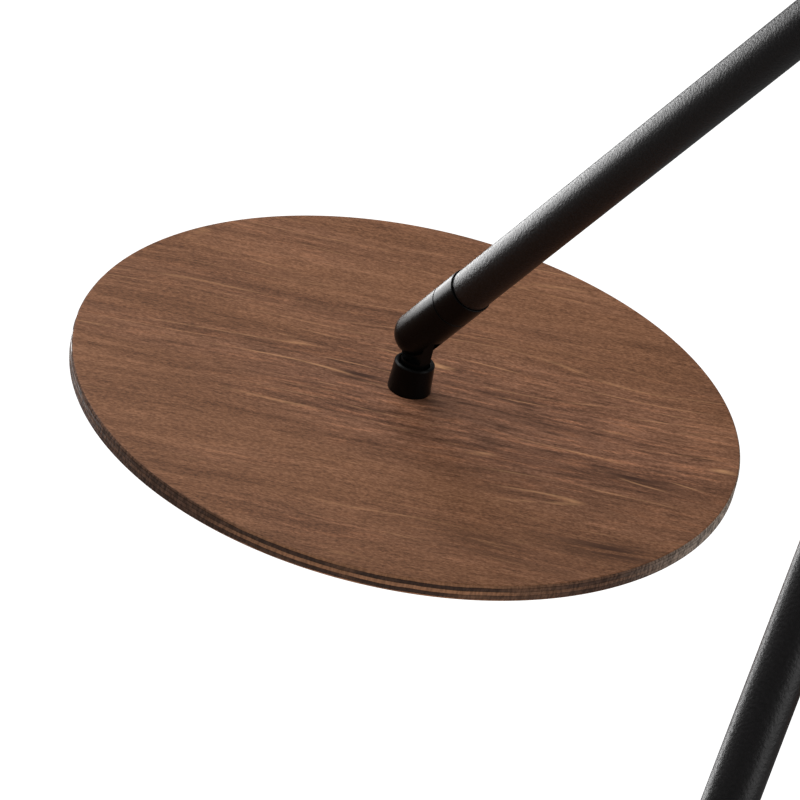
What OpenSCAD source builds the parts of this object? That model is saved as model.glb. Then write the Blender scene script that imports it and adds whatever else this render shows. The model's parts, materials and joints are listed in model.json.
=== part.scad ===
// Ceiling light: three straight arms lean out from a round canopy, and each carries
// a plywood disc shade on a knuckle that swivels about the arm and tilts on a pin.
// The origin is on the ceiling at the canopy's centre, and the light hangs below it.

/* [Canopy] */
// Outside diameter of the canopy
canopy_d = 120; // [116:1:180]
// Height of the canopy from the ceiling to its underside
canopy_h = 30; // [28:1:50]
// Thickness of the canopy's side wall and plate
canopy_wall = 1.5; // [1:0.1:2.5]
// Radius of the canopy's lower outside edge
canopy_edge_r = 4; // [3:0.5:8]

/* [Ceiling bracket] */
// Width of the bracket strip
bracket_w = 24; // [18:1:30]
// Thickness of the bracket strip
bracket_t = 2; // [1.5:0.1:3]
// Depth of the ears that take the side screws
ear_drop = 14; // [12:1:18]
// Distance between the centres of the two fixing slots
slot_spacing = 70; // [66:1:76]
// End to end length of a fixing slot
slot_len = 14; // [10:1:18]
// Width of a fixing slot
slot_w = 5; // [4:0.1:6]
// Diameter of the hole for the supply wires
supply_hole_d = 14; // [10:1:18]

/* [Junction block] */
// Diameter of the junction block
block_d = 32; // [28:1:36]
// Height of the junction block
block_h = 14; // [13:0.5:18]
// Height of the lead ports above the block's foot
port_up = 8.5; // [7:0.5:9]
// Depth of a lead port
port_depth = 7; // [5:0.5:8]
// Diameter of an arm's lead
lead_d = 5; // [4:0.1:5.5]
// Radius of the lead's bend on its way into the arm
lead_bend_r = 8; // [6:0.5:9]

/* [Arms] */
// Lean of an arm from the vertical
arm_angle = 35; // [30:1:40]
// Radius at which the arm's axis crosses the canopy's underside
arm_start_r = 30; // [29:1:36]
// Length along the arm from the canopy's underside to the tilt pivot
arm_reach = 420; // [300:5:600]
// Outside diameter of the tube
tube_d = 19; // [18:0.2:20]
// Wall of the tube
tube_wall = 1.5; // [1:0.1:2]
// Bevel on the tube's lower lip
tube_lip = 0.5; // [0.2:0.1:0.8]

/* [Arm sockets] */
// Wall of the socket around the tube
socket_wall = 3; // [2.5:0.5:5]
// Depth to which the tube stands in the socket
socket_depth = 20; // [14:1:30]
// Solid length between the canopy and the tube's end
socket_web = 16; // [15:1:24]
// Distance of each socket screw from the arm's plane
socket_screw_side = 7.5; // [7:0.5:8]
// Thread length of a socket screw below the canopy
socket_screw_bite = 6; // [4:0.5:7]

/* [Knuckle] */
// Diameter of the knuckle
knuckle_d = 20.4; // [20.2:0.2:21.4]
// Distance from the pivot to the centre of the rounded end
dome_below = 4.3; // [3.5:0.1:5]
// Distance from the pivot up to the swivel seam
seam_up = 25.7; // [25:0.1:28]
// Distance from the pivot up to the tube's lower lip
lip_up = 41; // [38:0.5:46]
// Length of the adapter's plug inside the tube
plug_len = 20; // [12:1:30]
// Diameter of the swivel spigot
spigot_d = 11; // [10.6:0.1:11.4]
// Length of the swivel spigot
spigot_len = 13.5; // [12:0.5:15]
// Bore for the lead through the adapter
lead_bore_d = 6; // [5.8:0.1:6.2]
// Depth of the stop groove in the spigot
groove_depth = 1; // [0.8:0.1:1.2]
// Diameter of the stop screw
stop_screw_d = 2.5; // [2:0.1:3]
// Turn of the swivel each way before the stop
swivel_limit = 150; // [90:5:150]
// Diameter of the tilt pivot pin
pin_d = 5; // [4:0.1:5.4]
// Thickness of the cheek that closes over the pin's blind end
pin_cover = 2.5; // [1.5:0.1:3]
// Thickness of a friction washer
washer_t = 0.9; // [0.6:0.1:1.1]
// Diameter of a friction washer
washer_d = 11.6; // [9:0.1:12]

/* [Stem and cup] */
// Height of the tilt pivot above the disc
pivot_up = 30.5; // [30.5:0.5:36]
// Thickness of the tongue
tongue_t = 6; // [5:0.2:6.2]
// Width of the tongue, and diameter of the neck below it
tongue_w = 12.8; // [11:0.1:13]
// Diameter of the stem's shank through the disc
shank_d = 10; // [9:0.5:11]
// Bore for the wires through the shank
stem_bore_d = 5; // [3:0.5:5.5]
// Diameter of a wire channel beside the tongue
channel_d = 2.2; // [1.6:0.1:2.4]
// Height of the cup
cup_h = 14; // [13:0.2:14]
// Diameter of the cup at its foot
cup_base_d = 19.4; // [18.6:0.2:24]
// Diameter of the cup at its rim
cup_rim_d = 18; // [17:0.2:18.4]
// Bevel of the cup's rim
cup_bevel = 0.7; // [0.3:0.1:0.9]
// Thickness of the cup's floor
cup_floor = 2.5; // [2:0.5:4]
// Gap between the neck and the cup's wall
cup_gap = 0.6; // [0.3:0.1:0.7]

/* [Disc shade] */
// Diameter of the plywood disc
disc_d = 300; // [200:5:300]
// Thickness of the plywood disc
disc_t = 8; // [6:0.5:12]
// Bevel on the disc's edges
disc_edge = 0.8; // [0.2:0.1:2]
// Width of the flange nut across its flats
nut_flats = 17; // [15:0.5:19]
// Height of the flange nut
nut_h = 6; // [5:0.5:7]
// Diameter of the nut's flange
nut_flange_d = 22; // [21.9:0.1:24]
// Thickness of the nut's flange
nut_flange_t = 1.5; // [1:0.1:2]

/* [Lampholder and lamp] */
// Diameter of the lampholder
holder_d = 78; // [77:0.5:90]
// Height of the lampholder
holder_h = 20; // [19:0.5:26]
// Wall of the lampholder
holder_wall = 2.5; // [2:0.1:3]
// Thickness of the lampholder's floor
holder_floor = 3; // [2.5:0.1:4]
// Radius of the circle of the lampholder's screws
holder_screw_r = 29; // [28.5:0.5:30]
// Depth of the lampholder's screws in the disc
holder_screw_bite = 5; // [3:0.5:5]
// Diameter of the lamp
lamp_d = 75; // [74:0.5:76]
// Height of the lamp below the lampholder
lamp_h = 18; // [14:1:24]
// Diameter of the lamp's boss
boss_d = 41; // [38:0.5:42]
// Height of the lamp's boss
boss_h = 7; // [4:0.5:7]
// Wall of the lamp's housing
lamp_wall = 3; // [2:0.5:4]
// Diameter of the opal lens
lens_d = 66; // [56:1:67]
// Thickness of the opal lens
lens_t = 3; // [2:0.5:4]
// Distance between the lamp's two pins
lamp_pin_spacing = 53; // [51:0.5:53.5]
// Diameter of a lamp pin's neck
lamp_pin_d = 3; // [2.5:0.1:3.2]
// Diameter of a lamp pin's head
lamp_head_d = 5; // [4.4:0.1:5.2]
// Height of a lamp pin's head
lamp_head_h = 2.5; // [1.5:0.1:3]
// Turn that frees the lamp
lamp_turn = 25; // [15:1:30]

/* [Screws and clearances] */
// Diameter of the canopy, socket, earth and block screws
screw_d = 4; // [3.5:0.1:4]
// Diameter of those screws' heads
screw_head_d = 7; // [6.5:0.1:7.4]
// Height of those screws' heads
screw_head_h = 2.4; // [1.8:0.1:2.8]
// Diameter of the terminal screws
terminal_screw_d = 3; // [2.5:0.1:3.5]
// Diameter of the grub screw in a socket
grub_d = 5; // [4:0.5:6]
// Diameter of the lampholder's wood screws
wood_screw_d = 3.5; // [3:0.1:4]
// Radial clearance of round parts that fit each other
fit = 0.05; // [0.02:0.01:0.08]
// Gap between faces that move past each other
play = 0.3; // [0.2:0.05:0.4]

/* [Hidden] */
$fn = 96;
arms = 3;
ARM_NODES = ["arm_socket", "arm_tube", "swivel_adapter", "knuckle_body", "stop_screw", "pivot_pin",
    "friction_washers", "stem", "cup", "disc", "under_nut", "lampholder", "holder_screws",
    "lamp_body", "lamp_lens", "lamp_pins"];

black = [0.11, 0.105, 0.105];
steel = [0.72, 0.73, 0.74];
brass = [0.80, 0.64, 0.32];
walnut = [0.42, 0.28, 0.20];
ivory = [0.90, 0.88, 0.83];
opal = [0.97, 0.96, 0.93];
grey = [0.45, 0.45, 0.46];

// Length by which a cutter passes the face that it opens
past = 1;

canopy_r = canopy_d / 2;
canopy_ri = canopy_r - canopy_wall;
plate_top = -canopy_h + canopy_wall;

// The ears stand just inside the canopy's wall, where their corners come closest to it
ear_face = sqrt(pow(canopy_ri, 2) - pow(bracket_w / 2, 2)) - play;
ear_screw_z = -bracket_t - (ear_drop - bracket_t) / 2;
earth_y = (supply_hole_d / 2 + slot_spacing / 2 - slot_len / 2) / 2;

// Lead: level from the block's port, round the bend, then down the arm's axis
lead_z = plate_top + port_up;
lead_turn = 90 - arm_angle;
lead_meet_r = arm_start_r - (lead_z + canopy_h) * tan(arm_angle);
lead_meet_up = arm_reach + (lead_z + canopy_h) / cos(arm_angle);
lead_tangent = lead_bend_r * tan(lead_turn / 2);
port_end_r = block_d / 2 - port_depth;
terminal_r = (port_end_r + block_d / 2) / 2;

tube_r = tube_d / 2;
tube_ri = tube_r - tube_wall;
tube_top = arm_reach - socket_web;
socket_r = tube_r + fit + socket_wall;
socket_foot = tube_top - socket_depth;
grub_up = tube_top - socket_depth / 2;
wire_way_r = lead_d / 2 + 2;

pivot_r = arm_start_r + arm_reach * sin(arm_angle);
pivot_z = -canopy_h - arm_reach * cos(arm_angle);

knuckle_r = knuckle_d / 2;
spigot_r = spigot_d / 2;
spigot_foot = seam_up + play - spigot_len;
groove_r = spigot_r - groove_depth;
groove_up = spigot_foot + spigot_len / 2;
stop_reach = swivel_limit + asin((stop_screw_d / 2 + play) / groove_r);
fork_gap = tongue_t + 2 * washer_t + 4 * fit;
fork_top = tongue_w / 2 + play;
pin_end = knuckle_r - pin_cover;

// The round neck ends just below the path of the domed fork
neck_top = pivot_up - dome_below - knuckle_r - play;
cup_hole_r = tongue_w / 2 + cup_gap;
channel_side = (tongue_t / 2 + tongue_w / 2) / 2;
shank_foot = -disc_t - nut_h - past;

holder_top = -disc_t;
holder_foot = holder_top - holder_h;
lamp_top = holder_foot - play;
lamp_pin_r = lamp_pin_spacing / 2;
opening_r = boss_d / 2 + play;
pin_way_r = lamp_pin_d / 2 + play;
pin_way_turn = asin(pin_way_r / lamp_pin_r);
wood_head_h = (wood_screw_d / 2 + fit);

// Turn to arm k about the canopy's axis, with X pointing outward
module turn_to(k) {
    rotate([0, 0, (k - 1) * 360 / arms]) children();
}

// Origin at the tilt pivot of arm k, with Z up and X outward
module at_pivot(k) {
    turn_to(k) translate([pivot_r, 0, pivot_z]) children();
}

// Origin at the tilt pivot of arm k, with Z up along the arm
module along_arm(k) {
    at_pivot(k) rotate([0, -arm_angle, 0]) children();
}

// Origin at the middle of the top of disc k
module on_disc(k) {
    at_pivot(k) translate([0, 0, -pivot_up]) children();
}

// Slot with round ends along Y, from z = 0 up
module slot(length, width, height) {
    run = length - width;
    translate([-width / 2, -run / 2, 0]) cube([width, run, height]);
    for (s = [-1, 1]) translate([0, s * run / 2, 0]) cylinder(d = width, h = height);
}

// Pan-head screw: the head stands on z = 0 and the shank runs down from it
module pan_screw(shank) {
    translate([0, 0, -shank]) cylinder(d = screw_d, h = shank + screw_head_h / 2);
    difference() {
        cylinder(d1 = screw_head_d, d2 = screw_head_d * 0.8, h = screw_head_h);
        translate([-screw_head_d / 2, -screw_d / 8, screw_head_h * 0.6])
            cube([screw_head_d, screw_d / 4, screw_head_h]);
    }
}

// Half section of a cup with a rounded lower edge, standing on z = 0
module cup_section(radius, height, edge) {
    square([radius - edge, height]);
    translate([0, edge]) square([radius, height - edge]);
    translate([radius - edge, edge]) circle(edge);
}

// Places of the two socket screws of arm k, on the canopy's underside
module at_socket_screws(k) {
    turn_to(k) for (s = [-1, 1])
        translate([arm_start_r, s * socket_screw_side, -canopy_h]) children();
}

// Places of the two side screws, pointing outward from the canopy's axis
module at_side_screws() {
    for (s = [-1, 1]) translate([0, s * canopy_r, ear_screw_z]) rotate([-s * 90, 0, 0]) children();
}

module canopy_shell() {
    color(black) difference() {
        translate([0, 0, -canopy_h]) difference() {
            rotate_extrude() cup_section(canopy_r, canopy_h, canopy_edge_r);
            translate([0, 0, canopy_wall]) rotate_extrude()
                cup_section(canopy_ri, canopy_h, canopy_edge_r - canopy_wall);
        }
        for (k = [1:arms]) {
            along_arm(k) translate([0, 0, arm_reach - wire_way_r])
                cylinder(r = wire_way_r, h = 2 * wire_way_r + canopy_wall / cos(arm_angle));
            at_socket_screws(k) translate([0, 0, -past])
                cylinder(r = screw_d / 2 + fit, h = canopy_wall + 2 * past);
        }
        at_side_screws() translate([0, 0, -2 * canopy_wall])
            cylinder(r = screw_d / 2 + fit, h = 3 * canopy_wall);
        translate([0, 0, -canopy_h - past]) cylinder(r = screw_d / 2 + fit, h = canopy_wall + 2 * past);
    }
}

module ceiling_bracket() {
    color(steel) difference() {
        union() {
            translate([-bracket_w / 2, -ear_face, -bracket_t])
                cube([bracket_w, 2 * ear_face, bracket_t]);
            for (s = [0, 1]) mirror([0, s, 0])
                translate([-bracket_w / 2, ear_face - bracket_t, -ear_drop])
                    cube([bracket_w, bracket_t, ear_drop]);
        }
        for (s = [-1, 1]) translate([0, s * slot_spacing / 2, -bracket_t - past])
            slot(slot_len, slot_w, bracket_t + 2 * past);
        translate([0, 0, -bracket_t - past]) cylinder(d = supply_hole_d, h = bracket_t + 2 * past);
        translate([0, earth_y, -bracket_t - past])
            cylinder(r = screw_d / 2 + fit, h = bracket_t + 2 * past);
        at_side_screws() translate([0, 0, ear_face - bracket_t - canopy_r - past])
            cylinder(r = screw_d / 2 + fit, h = bracket_t + 2 * past);
    }
}

module canopy_screws() {
    color(black) at_side_screws() pan_screw(canopy_r - ear_face + bracket_t + past);
}

module earth_screw() {
    color(brass) translate([0, earth_y, -bracket_t]) mirror([0, 0, 1]) pan_screw(bracket_t - play);
}

module junction_block() {
    color(ivory) translate([0, 0, plate_top]) difference() {
        cylinder(d = block_d, h = block_h);
        translate([0, 0, -past]) cylinder(r = screw_d / 2 + fit, h = block_h + 2 * past);
        for (k = [1:arms]) turn_to(k) {
            translate([port_end_r - fit, 0, port_up]) rotate([0, 90, 0])
                cylinder(r = lead_d / 2 + fit, h = block_d);
            translate([terminal_r, 0, port_up])
                cylinder(r = terminal_screw_d / 2 + fit, h = block_h);
            rotate([0, 0, 180 / arms]) translate([terminal_r, 0, block_h / 2])
                cylinder(d = terminal_screw_d, h = block_h);
        }
    }
}

module block_screw() {
    color(steel) translate([0, 0, plate_top + block_h]) pan_screw(block_h + canopy_wall - play);
}

// Set screws that come down on the leads, their slots level with the block's top
module terminal_screws() {
    foot = plate_top + port_up + lead_d / 2 + fit;
    height = plate_top + block_h - foot;
    color(brass) for (k = [1:arms]) turn_to(k) translate([terminal_r, 0, foot]) difference() {
        cylinder(d = terminal_screw_d, h = height);
        translate([-terminal_screw_d, -terminal_screw_d / 8, height * 0.6])
            cube([2 * terminal_screw_d, terminal_screw_d / 4, height]);
    }
}

// Screws from inside the canopy down into the sockets
module socket_screws() {
    color(steel) for (k = [1:arms]) at_socket_screws(k) translate([0, 0, canopy_wall])
        pan_screw(canopy_wall + socket_screw_bite);
}

// Grub screws that hold the tubes, on the side that faces the ceiling
module socket_grubs() {
    length = socket_wall - play;
    color(black) for (k = [1:arms]) along_arm(k) translate([tube_r + fit, 0, grub_up])
        rotate([0, 90, 0]) difference() {
            cylinder(d = grub_d, h = length);
            translate([0, 0, length / 2]) cylinder(d = grub_d / 2, h = length, $fn = 6);
        }
}

module arm_leads() {
    color(grey) for (k = [1:arms]) union() {
        turn_to(k) {
            translate([port_end_r, 0, lead_z]) rotate([0, 90, 0])
                cylinder(d = lead_d, h = lead_meet_r - lead_tangent - port_end_r);
            translate([lead_meet_r - lead_tangent, 0, lead_z - lead_bend_r]) rotate([90, 0, 0])
                rotate([0, 0, 90 - lead_turn]) rotate_extrude(angle = lead_turn)
                    translate([lead_bend_r, 0]) circle(d = lead_d);
        }
        along_arm(k) translate([0, 0, spigot_foot])
            cylinder(d = lead_d, h = lead_meet_up - lead_tangent - spigot_foot);
    }
}

// Slanted boss that stands on the canopy's underside and holds a tube
module arm_socket(k) {
    bevel = socket_wall / 3;
    rise = socket_r * tan(arm_angle) + past;
    color(black) difference() {
        along_arm(k) difference() {
            rotate_extrude() polygon([[0, socket_foot], [socket_r - bevel, socket_foot],
                [socket_r, socket_foot + bevel], [socket_r, arm_reach + rise], [0, arm_reach + rise]]);
            translate([0, 0, socket_foot - past])
                cylinder(r = tube_r + fit, h = socket_depth + past);
            translate([0, 0, socket_foot]) cylinder(r = wire_way_r, h = arm_reach + rise);
            translate([0, 0, grub_up]) rotate([0, 90, 0])
                cylinder(r = grub_d / 2 + fit, h = socket_r + past);
        }
        turn_to(k) translate([arm_start_r - 2 * socket_r, -2 * socket_r, -canopy_h])
            cube([4 * socket_r, 4 * socket_r, 2 * rise / cos(arm_angle)]);
        at_socket_screws(k) translate([0, 0, -socket_screw_bite - play])
            cylinder(r = screw_d / 2 + fit, h = socket_screw_bite + play + past);
    }
}

module arm_tube(k) {
    color(black) along_arm(k) rotate_extrude() polygon([
        [tube_ri, lip_up], [tube_r - tube_lip, lip_up], [tube_r, lip_up + tube_lip],
        [tube_r, tube_top], [tube_ri, tube_top]]);
}

// Plug in the tube, sleeve below it and spigot on which the knuckle turns
module swivel_adapter(k) {
    plug_r = tube_ri - fit;
    seam = seam_up + play;
    color(black) along_arm(k) difference() {
        rotate_extrude() polygon([
            [lead_bore_d / 2, spigot_foot], [spigot_r, spigot_foot], [spigot_r, seam],
            [knuckle_r - play, seam], [knuckle_r, seam + play], [knuckle_r, lip_up - play],
            [knuckle_r - play, lip_up], [plug_r, lip_up], [plug_r, lip_up + plug_len],
            [lead_bore_d / 2, lip_up + plug_len]]);
        translate([0, 0, groove_up - stop_screw_d / 2 - play]) rotate([0, 0, -90 - stop_reach])
            rotate_extrude(angle = 2 * stop_reach)
                translate([groove_r, 0]) square([groove_depth + past, stop_screw_d + 2 * play]);
    }
}

// Domed fork that turns on the spigot and holds the tongue between its cheeks
module knuckle_body(k) {
    color(black) along_arm(k) difference() {
        rotate_extrude() {
            translate([0, -dome_below]) intersection() {
                circle(knuckle_r);
                translate([0, -knuckle_r]) square([knuckle_r, knuckle_r]);
            }
            polygon([[0, -dome_below], [knuckle_r, -dome_below], [knuckle_r, seam_up - play],
                [knuckle_r - play, seam_up], [0, seam_up]]);
        }
        translate([-knuckle_d, -fork_gap / 2, -dome_below - knuckle_d])
            cube([2 * knuckle_d, fork_gap, dome_below + knuckle_d + fork_top]);
        translate([0, 0, spigot_foot - play])
            cylinder(r = spigot_r + fit, h = spigot_len + 2 * past);
        cylinder(d = lead_bore_d, h = seam_up);
        translate([0, pin_end + fit, 0]) rotate([90, 0, 0])
            cylinder(r = pin_d / 2 + fit, h = 2 * knuckle_d);
        translate([0, 0, groove_up]) rotate([90, 0, 0])
            cylinder(r = stop_screw_d / 2 + fit, h = knuckle_d);
    }
}

// Screw through the knuckle's wall whose tip runs in the spigot's groove
module stop_screw(k) {
    tip = groove_r + play;
    color(black) along_arm(k) translate([0, -tip, groove_up]) rotate([90, 0, 0])
        cylinder(d = stop_screw_d, h = knuckle_r - tip - play);
}

// Pin from one side of the knuckle, its outer end flush and its inner end in a blind hole
module pivot_pin(k) {
    flush = sqrt(pow(knuckle_r, 2) - pow(pin_d / 2, 2)) - fit;
    color(black) at_pivot(k) translate([0, pin_end, 0]) rotate([90, 0, 0])
        cylinder(d = pin_d, h = pin_end + flush);
}

module friction_washers(k) {
    color(grey) at_pivot(k) for (s = [0, 1]) mirror([0, s, 0])
        translate([0, tongue_t / 2 + fit, 0]) rotate([-90, 0, 0]) difference() {
            cylinder(d = washer_d, h = washer_t);
            translate([0, 0, -past]) cylinder(r = pin_d / 2 + fit, h = washer_t + 2 * past);
        }
}

// Tongue, round neck, and hollow threaded shank that passes through cup and disc
module stem(k) {
    color(black) on_disc(k) difference() {
        union() {
            translate([0, 0, shank_foot]) cylinder(d = shank_d, h = cup_floor - shank_foot);
            translate([0, 0, cup_floor]) cylinder(d = tongue_w, h = neck_top - cup_floor);
            translate([-tongue_w / 2, -tongue_t / 2, neck_top])
                cube([tongue_w, tongue_t, pivot_up - neck_top]);
            translate([0, 0, pivot_up]) rotate([90, 0, 0])
                cylinder(d = tongue_w, h = tongue_t, center = true);
        }
        translate([0, 0, pivot_up]) rotate([90, 0, 0])
            cylinder(r = pin_d / 2 + fit, h = tongue_w, center = true);
        translate([0, 0, shank_foot - past])
            cylinder(d = stem_bore_d, h = cup_floor + stem_bore_d - shank_foot + past);
        translate([0, 0, cup_floor + stem_bore_d / 2]) rotate([90, 0, 0])
            cylinder(d = channel_d, h = 2 * tongue_w, center = true);
        for (s = [-1, 1]) translate([0, s * channel_side, cup_floor + stem_bore_d / 2])
            cylinder(d = channel_d, h = neck_top);
    }
}

// Turned cup with a bevelled rim and a recess round the neck
module cup(k) {
    rim_r = cup_rim_d / 2;
    step = (rim_r - cup_bevel - cup_hole_r) / 3;
    color(black) on_disc(k) rotate_extrude() polygon([
        [shank_d / 2 + fit, 0], [cup_base_d / 2, 0], [rim_r, cup_h - cup_bevel],
        [rim_r - cup_bevel, cup_h], [cup_hole_r + step, cup_h], [cup_hole_r + step, cup_h - cup_bevel],
        [cup_hole_r, cup_h - cup_bevel], [cup_hole_r, cup_floor], [shank_d / 2 + fit, cup_floor]]);
}

module disc(k) {
    disc_r = disc_d / 2;
    hole_r = shank_d / 2 + play;
    color(walnut) on_disc(k) difference() {
        rotate_extrude() polygon([
            [hole_r, 0], [disc_r - disc_edge, 0], [disc_r, -disc_edge], [disc_r, disc_edge - disc_t],
            [disc_r - disc_edge, -disc_t], [hole_r, -disc_t]]);
        for (s = [-1, 1]) translate([0, s * holder_screw_r, holder_top - past])
            cylinder(r = wood_screw_d / 2 + fit, h = holder_screw_bite + play + past);
    }
}

module under_nut(k) {
    color(steel) on_disc(k) translate([0, 0, -disc_t]) difference() {
        union() {
            translate([0, 0, -nut_flange_t]) cylinder(d = nut_flange_d, h = nut_flange_t);
            translate([0, 0, -nut_h])
                cylinder(d = nut_flats / cos(30), h = nut_h - nut_flange_t, $fn = 6);
        }
        translate([0, 0, -nut_h - past]) cylinder(r = shank_d / 2 + fit, h = nut_h + 2 * past);
    }
}

// Ring case under the disc, open at the top, with keyhole ways for the lamp's pins
module lampholder(k) {
    color(black) on_disc(k) difference() {
        union() {
            difference() {
                translate([0, 0, holder_foot]) cylinder(d = holder_d, h = holder_h);
                translate([0, 0, holder_foot + holder_floor])
                    cylinder(r = holder_d / 2 - holder_wall, h = holder_h);
            }
            for (s = [-1, 1]) translate([0, s * holder_screw_r, holder_foot])
                cylinder(r = wood_screw_d, h = holder_h);
        }
        translate([0, 0, holder_foot - past]) cylinder(r = opening_r, h = holder_floor + 2 * past);
        for (s = [0, 1]) rotate([0, 0, s * 180 - lamp_turn]) translate([0, 0, holder_foot - past]) {
            translate([lamp_pin_r, 0, 0])
                cylinder(r = lamp_head_d / 2 + play, h = holder_floor + 2 * past);
            rotate_extrude(angle = lamp_turn + pin_way_turn) translate([lamp_pin_r - pin_way_r, 0])
                square([2 * pin_way_r, holder_floor + 2 * past]);
        }
        for (s = [-1, 1]) translate([0, s * holder_screw_r, holder_foot]) {
            translate([0, 0, -past]) cylinder(r = wood_screw_d / 2 + fit, h = holder_h + 2 * past);
            cylinder(r1 = wood_screw_d + fit, r2 = wood_screw_d / 2 + fit, h = wood_head_h);
        }
    }
}

// Countersunk screws from the lampholder's floor up into the disc
module holder_screws(k) {
    color(steel) on_disc(k) for (s = [-1, 1]) translate([0, s * holder_screw_r, holder_foot + fit]) {
        difference() {
            cylinder(r1 = wood_screw_d, r2 = wood_screw_d / 2, h = wood_head_h);
            translate([-wood_screw_d, -wood_screw_d / 8, -past])
                cube([2 * wood_screw_d, wood_screw_d / 4, wood_head_h / 2 + past]);
        }
        translate([0, 0, wood_head_h])
            cylinder(d = wood_screw_d, h = holder_h + holder_screw_bite - wood_head_h - fit);
    }
}

// Flat lamp housing, hollow behind the lens
module lamp_body(k) {
    lamp_r = lamp_d / 2;
    bevel = lamp_wall / 2;
    color(ivory) on_disc(k) translate([0, 0, lamp_top]) rotate_extrude() polygon([
        [0, boss_h], [boss_d / 2, boss_h], [boss_d / 2, 0], [lamp_r - bevel, 0], [lamp_r, -bevel],
        [lamp_r, bevel - lamp_h], [lamp_r - bevel, -lamp_h], [lens_d / 2 + fit, -lamp_h],
        [lens_d / 2 + fit, lens_t - lamp_h], [lens_d / 2 - lamp_wall, lens_t - lamp_h],
        [lens_d / 2 - lamp_wall, -lamp_wall], [0, -lamp_wall]]);
}

module lamp_lens(k) {
    color(opal) on_disc(k) translate([0, 0, lamp_top - lamp_h]) cylinder(d = lens_d, h = lens_t);
}

// Two pins whose heads hang on the lampholder's floor
module lamp_pins(k) {
    neck = holder_floor + 2 * play;
    color(brass) on_disc(k) for (s = [-1, 1]) translate([s * lamp_pin_r, 0, lamp_top]) {
        cylinder(d = lamp_pin_d, h = neck);
        translate([0, 0, neck]) cylinder(d = lamp_head_d, h = lamp_head_h);
    }
}

canopy_shell();
ceiling_bracket();
canopy_screws();
earth_screw();
junction_block();
block_screw();
terminal_screws();
socket_screws();
socket_grubs();
arm_leads();
for (k = [1:arms]) {
    arm_socket(k);
    arm_tube(k);
    swivel_adapter(k);
    knuckle_body(k);
    stop_screw(k);
    pivot_pin(k);
    friction_washers(k);
    stem(k);
    cup(k);
    disc(k);
    under_nut(k);
    lampholder(k);
    holder_screws(k);
    lamp_body(k);
    lamp_lens(k);
    lamp_pins(k);
}
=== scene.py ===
import json
import math

import bmesh
import bpy
from bpy.props import FloatProperty, FloatVectorProperty, IntProperty, PointerProperty
from bpy.types import Operator, Panel, PropertyGroup
from mathutils import Matrix, Vector


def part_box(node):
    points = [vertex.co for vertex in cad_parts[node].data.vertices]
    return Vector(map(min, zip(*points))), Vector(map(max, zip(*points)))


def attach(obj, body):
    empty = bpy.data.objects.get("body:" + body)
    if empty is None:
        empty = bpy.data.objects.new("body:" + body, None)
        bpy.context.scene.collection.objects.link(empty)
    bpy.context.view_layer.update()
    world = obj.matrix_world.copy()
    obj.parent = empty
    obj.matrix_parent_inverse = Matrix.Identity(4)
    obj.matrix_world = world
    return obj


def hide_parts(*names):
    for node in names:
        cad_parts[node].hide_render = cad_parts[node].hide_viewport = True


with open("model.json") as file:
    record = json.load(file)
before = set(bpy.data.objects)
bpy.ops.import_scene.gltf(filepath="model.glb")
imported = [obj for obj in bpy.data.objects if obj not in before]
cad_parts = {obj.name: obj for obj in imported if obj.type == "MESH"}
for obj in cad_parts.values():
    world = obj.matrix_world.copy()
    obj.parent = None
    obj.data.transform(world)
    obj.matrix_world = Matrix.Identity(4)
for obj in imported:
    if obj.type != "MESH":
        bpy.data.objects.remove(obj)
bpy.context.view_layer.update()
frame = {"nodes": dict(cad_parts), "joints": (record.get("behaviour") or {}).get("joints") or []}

bl_info = {
    "name": "Three-arm ceiling light",
    "version": (1, 0, 0),
    "blender": (4, 5, 0),
    "location": "3D View > Sidebar > Ceiling light",
    "description": "Builds a ceiling light whose three arms carry plywood disc shades",
    "category": "Object",
}

ARMS = (1, 2, 3)
MM = 0.001
FIT = 0.05 * MM  # play of a piece in its seat
GAP = 0.3 * MM  # gap between faces that turn past each other
DOUBLES = 2e-6  # vertices closer than this are one
UP = Vector((0, 0, 1))
ZERO, ONE = (0.0, 0.0, 0.0), (1.0, 1.0, 1.0)

# Steps round a disc, a tube and a bore, and along the arc of a dome
DISC_STEPS, TUBE_STEPS, BORE_STEPS, DOME_STEPS = 288, 96, 64, 24


# Measures of the frame

def joint(name):
    """The record of one joint."""
    return next(j for j in frame["joints"] if j["name"] == name)


def pivot(k):
    """Place of arm k's tilt pivot and direction of its pin."""
    tilt = joint(f"tilt_{k}")
    return Vector(tilt["pos_m"]), Vector(tilt["axis"]).normalized()


def axes_at(origin, x, y, z):
    """The matrix of a place with three axes."""
    return Matrix.Translation(origin) @ Matrix((x, y, z)).transposed().to_4x4()


def arm_frame(k):
    """Origin at arm k's tilt pivot, Z up along the arm and Y along the tilt pin."""
    place, y = pivot(k)
    z = Vector(joint(f"swivel_{k}")["axis"]).normalized()
    return axes_at(place, y.cross(z), y, z)


def disc_frame(k):
    """Origin in the middle of disc k's top face, Z up and X away from the canopy."""
    place, side = pivot(k)
    place.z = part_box(f"disc_{k}")[1].z
    return axes_at(place, side.cross(UP), side, UP)


def corners(points):
    """Lowest and highest corner of the box round some points."""
    return (Vector(min(p[i] for p in points) for i in range(3)),
            Vector(max(p[i] for p in points) for i in range(3)))


def reach(node, place):
    """Lowest corner, highest corner and largest radius about Z of a node, seen from a place."""
    back = place.inverted()
    points = [back @ v.co for v in frame["nodes"][node].data.vertices]
    return *corners(points), max(p.xy.length for p in points)


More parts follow.
